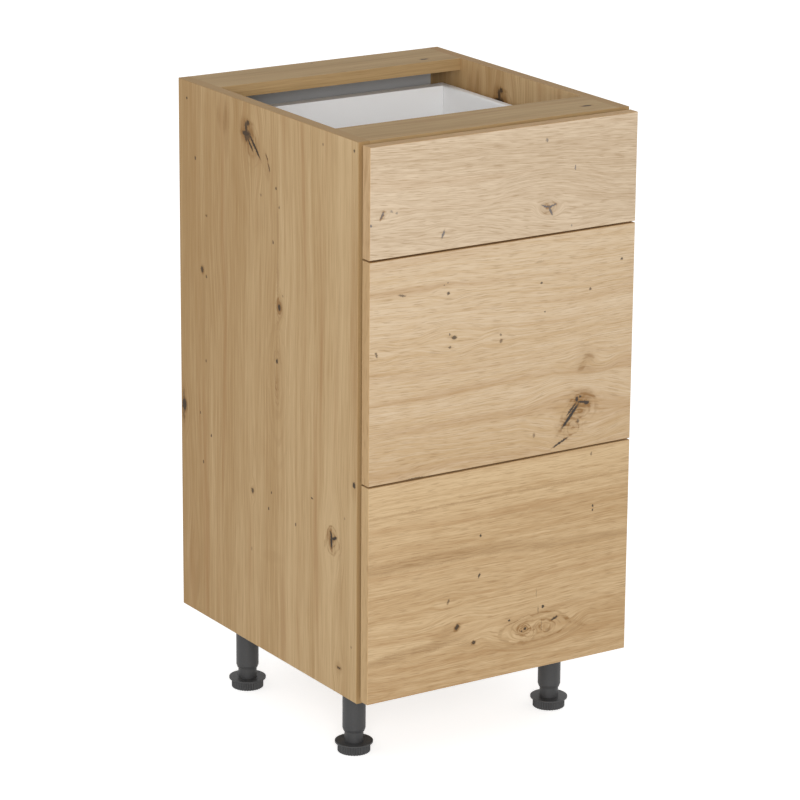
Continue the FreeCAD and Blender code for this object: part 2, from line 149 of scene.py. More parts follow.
def knot_marks(tree, place, knots, whorls):
    """How dark and how brown the knots make a point.
    A knot: along, across, half length, half width, turn, dark, halo.
    A whorl of brown rings: along, across, half length, half width, turn, how many, strength."""
    ragged = scattered(tree, place, scale=420.0, detail=2.0, reach=0.0035)
    drifted = scattered(tree, place, scale=75.0, detail=1.0, reach=0.010)
    dark, brown = 0.0, 0.0
    for along, across, length, width, turn, darkness, halo in knots:
        out = ellipse(tree, ragged, along, across, length, width, turn)
        if darkness:
            dark = reckon(tree, "MAXIMUM", dark, fade(tree, out, 0.4, 1.4, darkness, 0.0))
        if halo:
            brown = reckon(tree, "ADD", brown, fade(tree, out, 0.3, 4.0, halo, 0.0))
    for along, across, length, width, turn, count, strength in whorls:
        out = reckon(tree, "SQRT", ellipse(tree, drifted, along, across, length, width, turn))
        wave = reckon(tree, "SINE", reckon(tree, "MULTIPLY", out, 2.0 * math.pi * count))
        inside = fade(tree, out, 0.5, 1.0, 1.0, 0.0)
        ring = reckon(tree, "MULTIPLY", fade(tree, wave, 0.0, 1.0, 0.0, strength), inside)
        brown = reckon(tree, "ADD", brown, ring)
    return dark, brown


def parted_grain(tree, place, height, swirls):
    """How far the grain is pushed aside where it runs round a knot.
    A swirl: along, across, reach along, reach across, parting, ringing."""
    parted = 0.0
    for along, across, length, width, parting, ringing in swirls:
        out = ellipse(tree, place, along, across, length, width, 0.0)
        aside = reckon(tree, "SUBTRACT", height, across)
        moved = reckon(tree, "MULTIPLY", aside, -(parting + ringing))
        if ringing:
            radius = reckon(tree, "MULTIPLY", reckon(tree, "SQRT", out), width * ringing)
            moved = reckon(tree, "ADD", moved, radius)
        parted = reckon(tree, "MULTIPLY_ADD", fade(tree, out, 0.0, 1.0, 1.0, 0.0), moved, parted)
    return parted


pore_brown = (0.30, 0.17, 0.07, 1.0)
streak_amber = (0.38, 0.20, 0.075, 1.0)
halo_brown = (0.28, 0.145, 0.048, 1.0)


def oak_decor(name, axes, shift, knots, swirls, whorls, pale, deep, heart, edge, weights,
              slope=0.0, painted_light_lean=0.0, middle=0.0, ripples=1.0):
    """Oak print on a board. Axes: along the grain, across it, through the board. Shift: another print.
    Pale and deep wood, the heart of a knot, and what an edge band is multiplied by.
    Weights: broad bands, year rings, fibres, pores, warm streaks. Slope: how the grain climbs.
    Lean: how much paler the print is painted across it from its middle, a painted light. Ripples: how much
    the pores ripple the face."""
    band_weight, ring_weight, fibre_weight, pore_weight, streak_weight = weights
    bend_reach, waver_reach = 0.035, 0.0012 * ripples
    material = bpy.data.materials.new(name)
    material.use_nodes = True
    tree = material.node_tree
    shader = tree.nodes["Principled BSDF"]
    place, on_edge = board_place(tree, *axes, shift)
    split = tree.nodes.new("ShaderNodeSeparateXYZ")
    tree.links.new(place, split.inputs[0])
    run, height = split.outputs[0], split.outputs[1]
    dark, brown = knot_marks(tree, place, knots, whorls)
    parted = parted_grain(tree, place, height, swirls)

    bend = grain_noise(tree, place, along=2.2, across=6.0, detail=2.0)
    climbed = reckon(tree, "MULTIPLY_ADD", run, slope, height)
    level = reckon(tree, "ADD", climbed, reckon(tree, "MULTIPLY_ADD", bend, bend_reach, parted))
    flow = step(tree, "ShaderNodeCombineXYZ", run, level, shift)
    waver = grain_noise(tree, place, along=75.0, across=110.0, detail=1.0)
    wavered = reckon(tree, "MULTIPLY_ADD", waver, waver_reach, level)
    fine_flow = step(tree, "ShaderNodeCombineXYZ", run, wavered, shift)

    bands = grain_noise(tree, flow, along=1.2, across=17.0, detail=2.0)
    rings = grain_noise(tree, flow, along=2.0, across=150.0, detail=3.0, roughness=0.65)
    fibre_waves, pore_waves = 13.0 + 13.0 * ripples, 14.0 + 30.0 * ripples
    fibres = grain_noise(tree, fine_flow, along=fibre_waves, across=640.0, detail=2.0, roughness=0.6)
    dashes = grain_noise(tree, fine_flow, along=pore_waves, across=800.0, detail=1.0)
    pores = fade(tree, dashes, 0.55, 0.70, 0.0, 1.0)
    # Painted light: the lean paints the print paler towards one side of the board.
    tone = reckon(tree, "MULTIPLY_ADD", height, painted_light_lean, 0.5 - painted_light_lean * middle)
    for part, weight in ((bands, band_weight), (rings, ring_weight), (fibres, fibre_weight)):
        tone = reckon(tree, "MULTIPLY_ADD", reckon(tree, "SUBTRACT", part, 0.5), weight, tone)

    colour = tint(tree, fade(tree, tone, -0.1, 1.1, 0.0, 1.0), deep, pale)
    colour = tint(tree, reckon(tree, "MULTIPLY", pores, pore_weight), colour, pore_brown)
    warmth = grain_noise(tree, flow, along=1.5, across=42.0, detail=2.0)
    colour = tint(tree, fade(tree, warmth, 0.52, 0.72, 0.0, streak_weight), colour, streak_amber)
    brown = reckon(tree, "MULTIPLY", brown, reckon(tree, "MULTIPLY_ADD", rings, 1.6, 0.2))
    brown = reckon(tree, "MULTIPLY", brown, fade(tree, fibres, 0.36, 0.64, 0.5, 1.5))
    colour = tint(tree, fade(tree, brown, 0.0, 1.0, 0.0, 0.9), colour, halo_brown)
    colour = tint(tree, dark, colour, heart)
    colour = tint(tree, on_edge, colour, tint(tree, 1.0, colour, edge, "MULTIPLY"))
    tree.links.new(colour, shader.inputs["Base Color"])
    shader.inputs["Roughness"].default_value = 0.62
    shader.inputs["Specular IOR Level"].default_value = 0.2
    relief = reckon(tree, "MULTIPLY_ADD", fibres, 1.0, reckon(tree, "MULTIPLY", pores, -0.5))
    bump = step(tree, "ShaderNodeBump", Strength=0.4 * ripples + 0.05, Distance=0.0005, Height=relief)
    tree.links.new(bump, shader.inputs["Normal"])
    return material


def dress(material, *names):
    """Puts a material on CAD nodes."""
    for name in names:
        for slot in cad_nodes[name].material_slots:
            slot.material = material


# Knots, cracks and smears: along, across, half length, half width, turn, dark, halo.
side_knots = [
    (0.7936, 0.0537, 0.0036, 0.0040, 0, 0.80, 0.40),
    (0.7795, 0.0585, 0.0036, 0.0095, 0, 0.85, 0.40),
    (0.7669, 0.0367, 0.0200, 0.0022, 45, 0.95, 0.30),
    (0.7672, 0.0480, 0.0110, 0.0018, 44, 0.88, 0.20),
    (0.7780, 0.0540, 0.0060, 0.0075, 20, 0.70, 0.30),
    (0.7589, 0.0072, 0.0042, 0.0013, 31, 0.70, 0.40),
    (0.7468, 0.0019, 0.0053, 0.0013, 20, 0.80, 0.30),
    (0.7870, 0.0580, 0.0080, 0.0032, 10, 0.80, 0.30),
    (0.7740, 0.0590, 0.0060, 0.0024, 30, 0.75, 0.20),
    (0.7700, 0.0460, 0.0200, 0.0120, 45, 0.00, 0.40),
    (0.7860, 0.0580, 0.0130, 0.0120, 0, 0.00, 0.35),
    (0.7960, 0.1150, 0.0170, 0.0110, 0, 0.00, 0.26),
    (0.7700, 0.1080, 0.0250, 0.0050, 0, 0.00, 0.30),
    (0.7700, 0.1280, 0.0250, 0.0040, 0, 0.00, 0.22),
    (0.7480, 0.0080, 0.0160, 0.0050, 18, 0.00, 0.30),
    (0.7973, 0.2096, 0.0020, 0.0017, 0, 0.85, 0.20),
    (0.7218, 0.1887, 0.0028, 0.0016, 0, 0.85, 0.20),
    (0.8018, -0.1272, 0.0018, 0.0018, 0, 0.40, 0.20),
    (0.8073, -0.1995, 0.0024, 0.0015, 0, 0.80, 0.20),
    (0.7232, -0.0156, 0.0022, 0.0015, 0, 0.80, 0.30),
    (0.7073, 0.0219, 0.0018, 0.0020, 0, 0.30, 0.30),
    (0.7007, -0.0228, 0.0019, 0.0014, 0, 0.75, 0.20),
    (0.6527, -0.0076, 0.0024, 0.0013, 0, 0.85, 0.20),
    (0.6514, 0.1605, 0.0015, 0.0028, 0, 0.50, 0.40),
    (0.5768, 0.1728, 0.0044, 0.0036, 0, 0.75, 0.50),
    (0.5700, 0.1615, 0.0022, 0.0018, 0, 0.70, 0.20),
    (0.5714, -0.0226, 0.0046, 0.0034, 0, 0.90, 0.70),
    (0.5714, -0.0226, 0.0075, 0.0050, 0, 0.00, 0.35),
    (0.5882, -0.0313, 0.0014, 0.0013, 0, 0.50, 0.20),
    (0.4995, -0.0167, 0.0032, 0.0026, 0, 0.90, 0.40),
    (0.4555, 0.1642, 0.0022, 0.0018, 0, 0.60, 0.30),
    (0.3814, 0.2228, 0.0090, 0.0060, 0, 0.88, 0.40),
    (0.3800, 0.2240, 0.0240, 0.0030, 0, 0.45, 0.50),
    (0.3859, -0.2017, 0.0044, 0.0033, 0, 0.90, 0.40),
    (0.3809, 0.1805, 0.0022, 0.0016, 0, 0.70, 0.20),
    (0.3564, 0.1515, 0.0022, 0.0016, 0, 0.85, 0.20),
    (0.3150, 0.1733, 0.0026, 0.0018, 0, 0.70, 0.20),
    (0.3105, 0.0455, 0.0036, 0.0034, 0, 0.75, 0.50),
    (0.3209, -0.0022, 0.0018, 0.0015, 0, 0.85, 0.20),
    (0.2977, 0.0051, 0.0024, 0.0015, 0, 0.85, 0.20),
    (0.2950, -0.0622, 0.0024, 0.0018, 0, 0.75, 0.20),
    (0.3414, -0.1022, 0.0012, 0.0028, 0, 0.75, 0.20),
    (0.3364, -0.1795, 0.0016, 0.0015, 0, 0.35, 0.20),
    (0.2985, -0.1488, 0.0105, 0.0028, 3, 0.95, 0.40),
    (0.3035, -0.1560, 0.0065, 0.0022, -66, 0.95, 0.30),
    (0.3075, -0.1480, 0.0040, 0.0020, 30, 0.85, 0.20),
    (0.3000, -0.1500, 0.0120, 0.0090, 0, 0.00, 0.35),
    (0.1350, -0.1667, 0.0017, 0.0042, 0, 0.80, 0.40),
    (0.1350, -0.1667, 0.0060, 0.0060, 0, 0.00, 0.30),
    (0.2305, 0.0483, 0.0024, 0.0015, 0, 0.35, 0.20),
    (0.1718, -0.1963, 0.0018, 0.0018, 0, 0.35, 0.20),
    (0.1500, 0.1900, 0.0400, 0.0060, -14, 0.00, 0.25),
    (0.1500, 0.2130, 0.0400, 0.0040, -8, 0.00, 0.22),
    (0.6000, 0.1100, 0.0700, 0.0025, 0, 0.00, 0.22),
    (0.5250, 0.1690, 0.0450, 0.0030, 0, 0.00, 0.25),
    (0.3000, -0.1380, 0.0100, 0.0020, -20, 0.00, 0.35),
    (0.6400, -0.0190, 0.0600, 0.0016, 0, 0.00, 0.35),
    (0.5850, -0.1650, 0.0600, 0.0020, -3, 0.00, 0.25),
    (0.2750, -0.1700, 0.0650, 0.0020, 0, 0.00, 0.25),
    (0.1570, -0.0300, 0.0450, 0.0050, 0, 0.00, 0.22),
    (0.2350, -0.0030, 0.0060, 0.0200, 10, 0.00, 0.18),
    (0.4600, -0.0170, 0.0200, 0.0035, 0, 0.00, 0.22),
]
# Where the grain parts round them: along, across, reach along, reach across, parting, ringing.
side_swirls = [
    (0.7680, 0.0430, 0.0800, 0.0420, 0.55, 0.00),
    (0.7480, 0.0050, 0.0450, 0.0180, 0.50, 0.00),
    (0.7980, 0.1120, 0.0450, 0.0250, 0.40, 0.00),
    (0.5714, -0.0226, 0.0300, 0.0150, 0.20, 0.80),
    (0.4800, -0.0160, 0.0800, 0.0240, 0.60, 0.00),
    (0.5740, 0.1690, 0.0280, 0.0150, 0.50, 0.00),
    (0.3814, 0.2228, 0.0500, 0.0240, 0.30, 0.50),
    (0.3105, 0.0455, 0.0220, 0.0130, 0.30, 0.50),
    (0.3000, -0.1500, 0.0800, 0.0380, 0.55, 0.10),
    (0.1350, -0.1667, 0.0320, 0.0180, 0.60, 0.00),
    (0.3859, -0.2017, 0.0280, 0.0150, 0.50, 0.00),
    (0.1700, 0.2010, 0.0900, 0.0260, 0.60, 0.00),
]
# Brown rings: along, across, half length, half width, turn, how many, strength.
side_whorls = [
    (0.5714, -0.0226, 0.0200, 0.0110, 0, 3, 0.40),
    (0.2990, -0.1510, 0.0320, 0.0250, 0, 4, 0.30),
    (0.3814, 0.2228, 0.0300, 0.0120, 0, 2, 0.45),
    (0.4920, -0.0165, 0.0750, 0.0140, 0, 8, 0.26),
    (0.4700, -0.0170, 0.1700, 0.0500, 0, 5, 0.20),
    (0.7670, 0.0430, 0.0500, 0.0320, 0, 4, 0.20),
]
black_heart = (0.022, 0.017, 0.012, 1.0)
upright, flat, facing_front = (2, 1, 0), (0, 1, 2), (0, 2, 1)
# The sides are painted paler towards their front edge, as painted light.
oak_side = oak_decor("oak_upright", upright, 0.0, side_knots, side_swirls, side_whorls,
                     pale=(0.625, 0.445, 0.242, 1.0), deep=(0.425, 0.262, 0.112, 1.0), heart=black_heart,
                     edge=(0.95, 0.98, 1.02, 1.0), weights=(1.3, 1.25, 1.2, 0.22, 0.45),
                     painted_light_lean=-1.1, ripples=0.1)
dress(oak_side, "side_panel_left", "side_panel_right")


# ---- Bottom panel and top rails ------------------------------------------------------------
# The bottom panel and the two 80 mm rails lie flat between the sides, the same oak decor with
# its grain from side to side but darker, a painted shade, and are drawn tight by cam locks.
rail_knots = [
    (0.1550, -0.1795, 0.0075, 0.0028, 0, 0.95, 0.50),
    (0.1384, 0.1690, 0.0060, 0.0030, 0, 0.90, 0.50),
    (-0.0037, 0.2222, 0.0018, 0.0014, 0, 0.80, 0.30),
    (-0.0500, -0.1500, 0.0300, 0.0060, 0, 0.00, 0.25),
    (0.0040, 0.1550, 0.0030, 0.0020, 0, 0.00, 0.40),
]
rail_swirls = [
    (0.1550, -0.1795, 0.0350, 0.0150, 0.50, 0.00),
    (0.1384, 0.1690, 0.0300, 0.0140, 0.50, 0.00),
    (-0.0500, -0.1500, 0.0800, 0.0200, 0.40, 0.00),
]
# A darker copy of the sides' oak: painted shade on the flat tops.
oak_flat_painted_shade = oak_decor("oak_flat_painted_shade", flat, 3.0, rail_knots, rail_swirls, [],
                     pale=(0.51, 0.355, 0.182, 1.0), deep=(0.335, 0.215, 0.092, 1.0), heart=black_heart,
                     edge=(1.0, 0.97, 0.93, 1.0), weights=(1.1, 1.0, 1.1, 0.22, 0.2), ripples=0.1)
dress(oak_flat_painted_shade, "bottom_panel", "top_rail_front", "top_rail_rear")


# ---- Drawer fronts -------------------------------------------------------------------------
# Three loose fronts, 16 mm thick, with the grain across; the top one's lighter, pinker print is partly its
# own and partly a painted sheen.
# Their pores are pressed into the foil, so the faces catch the light in short ripples.
top_knots = [
    (0.0645, 0.7115, 0.0085, 0.0060, 0, 0.00, 0.32),
    (0.0590, 0.7135, 0.0062, 0.0013, -20, 0.85, 0.20),
    (0.0702, 0.7130, 0.0062, 0.0013, 15, 0.85, 0.20),
    (0.0675, 0.7060, 0.0065, 0.0014, -61, 0.85, 0.20),
    (-0.1800, 0.7315, 0.0052, 0.0014, 65, 0.75, 0.40),
    (-0.1790, 0.7325, 0.0040, 0.0040, 0, 0.00, 0.30),
    (-0.1665, 0.7350, 0.0024, 0.0013, -30, 0.50, 0.20),
    (-0.1590, 0.7320, 0.0020, 0.0013, 0, 0.50, 0.20),
    (-0.0920, 0.6970, 0.0052, 0.0015, 68, 0.80, 0.30),
    (0.0600, 0.7970, 0.0018, 0.0024, 0, 0.60, 0.30),
    (0.1035, 0.7575, 0.0011, 0.0030, 0, 0.80, 0.10),
    (0.0995, 0.6840, 0.0012, 0.0020, 0, 0.60, 0.10),
    (-0.1964, 0.7210, 0.0020, 0.0020, 0, 0.80, 0.10),
]
top_swirls = [
    (0.0645, 0.7115, 0.1100, 0.0600, 0.42, 0.00),
    (0.0645, 0.7115, 0.0260, 0.0170, 0.25, 0.45),
    (-0.1790, 0.7320, 0.0500, 0.0240, 0.55, 0.00),
    (-0.0920, 0.6970, 0.0400, 0.0180, 0.45, 0.00),
]
top_whorls = [
    (0.0645, 0.7105, 0.0300, 0.0170, 0, 3, 0.20),
    (-0.1790, 0.7320, 0.0150, 0.0100, 0, 2, 0.20),
]
# Its paler, pinker colours are partly the print and partly a painted sheen.
oak_top_painted_sheen = oak_decor("oak_front_top_painted_sheen", facing_front, 6.0, top_knots, top_swirls, top_whorls,
                    pale=(0.76, 0.61, 0.44, 1.0), deep=(0.53, 0.39, 0.25, 1.0),
                    heart=(0.13, 0.135, 0.15, 1.0), edge=(0.87, 0.74, 0.56, 1.0),
                    weights=(0.9, 0.9, 1.6, 0.36, 0.12), slope=0.07)
dress(oak_top_painted_sheen, "drawer_top_front")
middle_knots = [
    (-0.1505, 0.6280, 0.0055, 0.0016, -15, 0.60, 0.30),
    (-0.0830, 0.6215, 0.0022, 0.0016, 0, 0.80, 0.30),
    (-0.0840, 0.6350, 0.0011, 0.0011, 0, 0.70, 0.10),
    (-0.0895, 0.6325, 0.0012, 0.0012, 0, 0.60, 0.10),
    (-0.0740, 0.5640, 0.0036, 0.0024, -10, 0.75, 0.40),
    (-0.0800, 0.5525, 0.0018, 0.0018, 0, 0.60, 0.30),
    (-0.0805, 0.5690, 0.0016, 0.0016, 0, 0.70, 0.20),
    (-0.0040, 0.5495, 0.0020, 0.0026, -30, 0.50, 0.40),
    (-0.0045, 0.5580, 0.0014, 0.0018, 0, 0.60, 0.20),
    (0.0615, 0.5780, 0.0015, 0.0015, 0, 0.85, 0.10),
    (0.1305, 0.5980, 0.0017, 0.0015, 0, 0.70, 0.40),
    (0.1780, 0.6305, 0.0018, 0.0018, 0, 0.85, 0.20),
    (0.0555, 0.6160, 0.0015, 0.0014, 0, 0.85, 0.10),
    (-0.1870, 0.5580, 0.0014, 0.0034, 20, 0.60, 0.30),
    (0.0531, 0.6433, 0.0060, 0.0014, 0, 0.10, 0.30),
    (0.1265, 0.5030, 0.0130, 0.0140, 0, 0.00, 0.24),
    (0.1300, 0.5080, 0.0060, 0.0050, 0, 0.00, 0.20),
    (0.1200, 0.4980, 0.0050, 0.0030, 40, 0.00, 0.25),
    (0.1200, 0.4530, 0.0150, 0.0110, 0, 0.00, 0.45),
    (0.1020, 0.4280, 0.0200, 0.0110, 49, 0.00, 0.32),
    (0.1130, 0.4560, 0.0024, 0.0036, 0, 0.90, 0.40),
    (0.1180, 0.4585, 0.0022, 0.0016, 0, 0.85, 0.20),
    (0.1230, 0.4510, 0.0092, 0.0016, -6, 0.90, 0.20),
    (0.1287, 0.4490, 0.0038, 0.0028, 0, 0.90, 0.30),
    (0.1050, 0.4440, 0.0110, 0.0015, 46, 0.90, 0.10),
    (0.1031, 0.4350, 0.0200, 0.0024, 49, 0.97, 0.30),
    (0.0887, 0.4025, 0.0134, 0.0014, 24, 0.95, 0.30),
    (0.0480, 0.4185, 0.0018, 0.0030, 0, 0.40, 0.30),
    (0.1153, 0.4270, 0.0020, 0.0022, 0, 0.60, 0.20),
    (-0.1290, 0.3908, 0.0190, 0.0016, 0, 0.90, 0.10),
]
middle_swirls = [
    (0.1140, 0.4430, 0.0950, 0.0600, 0.60, 0.00),
    (0.0890, 0.4030, 0.0500, 0.0220, 0.50, 0.00),
    (-0.0770, 0.5610, 0.0550, 0.0280, 0.55, 0.00),
    (-0.0830, 0.6215, 0.0350, 0.0170, 0.50, 0.00),
    (-0.0042, 0.5530, 0.0350, 0.0190, 0.50, 0.00),
    (-0.1870, 0.5580, 0.0350, 0.0180, 0.50, 0.00),
    (0.1265, 0.5045, 0.0550, 0.0300, 0.40, 0.30),
    (-0.1700, 0.4150, 0.1000, 0.0400, 0.45, 0.00),
]
middle_whorls = [
    (0.1080, 0.4190, 0.0200, 0.0220, 0, 3, 0.28),
    (0.1180, 0.4400, 0.0500, 0.0340, 20, 4, 0.25),
]
# This front is painted paler towards its top, as painted light.
oak_middle = oak_decor("oak_front_middle", facing_front, 6.0, middle_knots, middle_swirls, middle_whorls,
                       pale=(0.72, 0.565, 0.39, 1.0), deep=(0.56, 0.385, 0.21, 1.0),
                       heart=(0.045, 0.04, 0.037, 1.0), edge=(0.775, 0.65, 0.47, 1.0),
                       weights=(0.8, 1.0, 1.5, 0.36, 0.35), slope=0.04, painted_light_lean=1.1, middle=0.54)
dress(oak_middle, "drawer_middle_front")
bottom_knots = [
    (0.0370, 0.1610, 0.0070, 0.0055, 0, 0.00, 0.40),
    (0.0399, 0.1618, 0.0021, 0.0021, 0, 0.90, 0.20),
    (0.0345, 0.1592, 0.0013, 0.0014, 0, 0.80, 0.10),
    (0.0650, 0.1600, 0.0008, 0.0070, 0, 0.30, 0.20),
    (0.0851, 0.1674, 0.0056, 0.0018, 20, 0.88, 0.40),
    (0.0750, 0.1530, 0.0040, 0.0028, 0, 0.15, 0.30),
    (0.0670, 0.1865, 0.0021, 0.0021, 0, 0.90, 0.20),
    (0.0149, 0.1770, 0.0017, 0.0017, 0, 0.90, 0.20),
    (-0.0645, 0.1835, 0.0044, 0.0028, 55, 0.85, 0.50),
    (-0.0390, 0.1580, 0.0028, 0.0022, 10, 0.80, 0.50),
    (-0.0490, 0.1570, 0.0070, 0.0036, 0, 0.00, 0.30),
    (-0.0780, 0.2205, 0.0034, 0.0016, 70, 0.60, 0.30),
    (-0.0305, 0.2995, 0.0015, 0.0020, 0, 0.90, 0.20),
    (-0.0320, 0.2465, 0.0036, 0.0014, 70, 0.85, 0.20),
    (0.1415, 0.3095, 0.0014, 0.0015, 0, 0.85, 0.10),
    (0.1415, 0.3035, 0.0014, 0.0015, 0, 0.85, 0.10),
    (0.1375, 0.3795, 0.0015, 0.0026, 0, 0.50, 0.20),
    (0.0564, 0.2070, 0.0007, 0.0060, 0, 0.30, 0.15),
    (0.0595, 0.1840, 0.0007, 0.0060, 0, 0.30, 0.15),
    (-0.1000, 0.2800, 0.1000, 0.0060, 0, 0.00, 0.42),
    (0.1100, 0.2680, 0.0800, 0.0045, -2, 0.00, 0.38),
    (0.0000, 0.3480, 0.2000, 0.0014, 0, 0.00, 0.36),
    (-0.1350, 0.1620, 0.0600, 0.0045, 4, 0.00, 0.42),
    (-0.0800, 0.1790, 0.0150, 0.0050, 14, 0.00, 0.40),
    (0.0650, 0.1780, 0.0450, 0.0025, 10, 0.00, 0.30),
    (0.1050, 0.1620, 0.0250, 0.0025, -25, 0.00, 0.30),
    (0.0600, 0.1440, 0.0500, 0.0025, 4, 0.00, 0.30),
]
bottom_swirls = [
    (0.0370, 0.1610, 0.0260, 0.0170, 0.15, 0.70),
    (0.0560, 0.1600, 0.0850, 0.0320, 0.10, 0.75),
    (-0.0645, 0.1830, 0.0600, 0.0300, 0.60, 0.00),
    (-0.0390, 0.1580, 0.0260, 0.0150, 0.40, 0.30),
    (-0.0780, 0.2205, 0.0350, 0.0160, 0.50, 0.00),
]
bottom_whorls = [
    (0.0385, 0.1605, 0.0140, 0.0095, 0, 3, 0.75),
    (0.0700, 0.1580, 0.0220, 0.0140, -8, 3, 0.45),
    (0.0540, 0.1600, 0.0950, 0.0330, 0, 4, 0.34),
    (0.0400, 0.3200, 0.1400, 0.0120, 0, 1, 0.22),
]
# This front is painted paler towards its top, as painted light.
oak_bottom = oak_decor("oak_front_bottom", facing_front, 6.0, bottom_knots, bottom_swirls, bottom_whorls,
                       pale=(0.69, 0.505, 0.295, 1.0), deep=(0.48, 0.305, 0.148, 1.0),
                       heart=(0.03, 0.027, 0.024, 1.0), edge=(0.86, 0.80, 0.70, 1.0),
                       weights=(1.1, 1.2, 1.5, 0.36, 0.4), painted_light_lean=1.0, middle=0.26)
dress(oak_bottom, "drawer_bottom_front")


# ---- Back panel ----------------------------------------------------------------------------
# A 3 mm lacquered hardboard sheet, pushed into grooves of the sides and the bottom; its light grey is
# painted shade.
def plain(name, colour, roughness, specular, speck=0.06, size=900.0, relief=0.3, depth=0.0002, metallic=0.0):
    """A smooth finish with a faint speckle and the fine relief of its lacquer or mould.
    Speck: how much darker the speckle is. Size: its grains per metre. Depth: of the relief."""
    cloud_size, roughness_spread = 9.0, 0.05
    material = bpy.data.materials.new(name)
    material.use_nodes = True
    tree = material.node_tree
    shader = tree.nodes["Principled BSDF"]
    coordinates = tree.nodes.new("ShaderNodeTexCoord")
    place = coordinates.outputs["Object"]
    grain = step(tree, "ShaderNodeTexNoise", Vector=place, Scale=size, Detail=2.0)
    cloud = step(tree, "ShaderNodeTexNoise", Vector=place, Scale=cloud_size, Detail=2.0)
    darker = tuple(channel * (1.0 - speck) for channel in colour[:3]) + (1.0,)
    mixed = reckon(tree, "MULTIPLY_ADD", grain, 0.5, reckon(tree, "MULTIPLY", cloud, 0.5))
    speckled = tint(tree, fade(tree, mixed, 0.35, 0.65, 0.0, 1.0), darker, colour)
    tree.links.new(speckled, shader.inputs["Base Color"])
    rough = fade(tree, grain, 0.3, 0.7, roughness - roughness_spread, roughness + roughness_spread)
    tree.links.new(rough, shader.inputs["Roughness"])
    shader.inputs["Specular IOR Level"].default_value = specular
    shader.inputs["Metallic"].default_value = metallic
    bump = step(tree, "ShaderNodeBump", Strength=relief, Distance=depth, Height=grain)
    tree.links.new(bump, shader.inputs["Normal"])
    return material


# The light grey stands in for shade: painted shade.
grey_hardboard = plain("grey_hardboard", (0.62, 0.63, 0.64, 1.0), roughness=0.6, specular=0.3)
dress(grey_hardboard, "back_panel")


# ---- Levelling legs ------------------------------------------------------------------------
# Moulded dark grey legs, screwed under the bottom panel, and threaded feet with a ribbed skirt
# that are turned by hand to level the cabinet.
dark_plastic = plain("dark_plastic", (0.055, 0.055, 0.056, 1.0), roughness=0.5, specular=0.45, speck=0.2,
                     size=500.0, relief=0.4)
dress(dark_plastic, "legs", "foot_front_left", "foot_front_right", "foot_back_left", "foot_back_right")


# ---- Runners and rollers -------------------------------------------------------------------
# Folded steel channels in white powder coat on the sides, with a nylon roller at the front of
# each; the drawer's own rollers run inside them.
levels = ("bottom", "middle", "top")
white_steel = plain("white_powder_coat", (0.91, 0.91, 0.91, 1.0), roughness=0.45, specular=0.5, speck=0.02,
                    size=1500.0, relief=0.35)
nylon = plain("white_nylon", (0.78, 0.78, 0.75, 1.0), roughness=0.45, specular=0.4, speck=0.03, size=600.0)
for level in levels:
    dress(white_steel, f"cabinet_runner_left_{level}", f"cabinet_runner_right_{level}")
    dress(nylon, f"cabinet_rollers_{level}", f"drawer_{level}_rollers")


# ---- Drawer boxes --------------------------------------------------------------------------
# Folded steel sides in the runners' white powder coat, hooked and screwed to the front and to
# a back of white melamine board, with a base of the same board on their flanges.
white_board = plain("white_melamine", (0.93, 0.93, 0.93, 1.0), roughness=0.55, specular=0.4, speck=0.02,
                    size=1200.0, relief=0.25)
for level in levels:
    dress(white_steel, f"drawer_{level}_side_left", f"drawer_{level}_side_right")
    dress(white_board, f"drawer_{level}_base", f"drawer_{level}_back")


# ---- Push latches --------------------------------------------------------------------------
# The fronts have no handle: a sprung plunger in a moulded grey housing behind each drawer
# pushes it open.
pale_plastic = plain("pale_plastic", (0.36, 0.37, 0.38, 1.0), roughness=0.5, specular=0.4, speck=0.05,
                     size=600.0)
dress(pale_plastic, "push_latch_housings", *[f"push_latch_plunger_{level}" for level in levels])


# ---- Screws and cam fittings ---------------------------------------------------------------
# Zinc-plated screws with a cross recess hold the leg plates, the runners, the latches and the
# tabs of the drawer sides; round cams under the flat boards pull the carcass together. Their
# heads are let in by a tenth of a millimetre, so that none hangs free.
zinc_plate = plain("zinc_plate", (0.72, 0.72, 0.71, 1.0), roughness=0.36, specular=0.5, speck=0.08,
                   size=700.0, depth=0.0001, metallic=1.0)
sunk = 0.0001


def only(piece):
    """Leaves one object selected and active."""
    bpy.ops.object.select_all(action="DESELECT")
    piece.select_set(True)
    bpy.context.view_layer.objects.active = piece


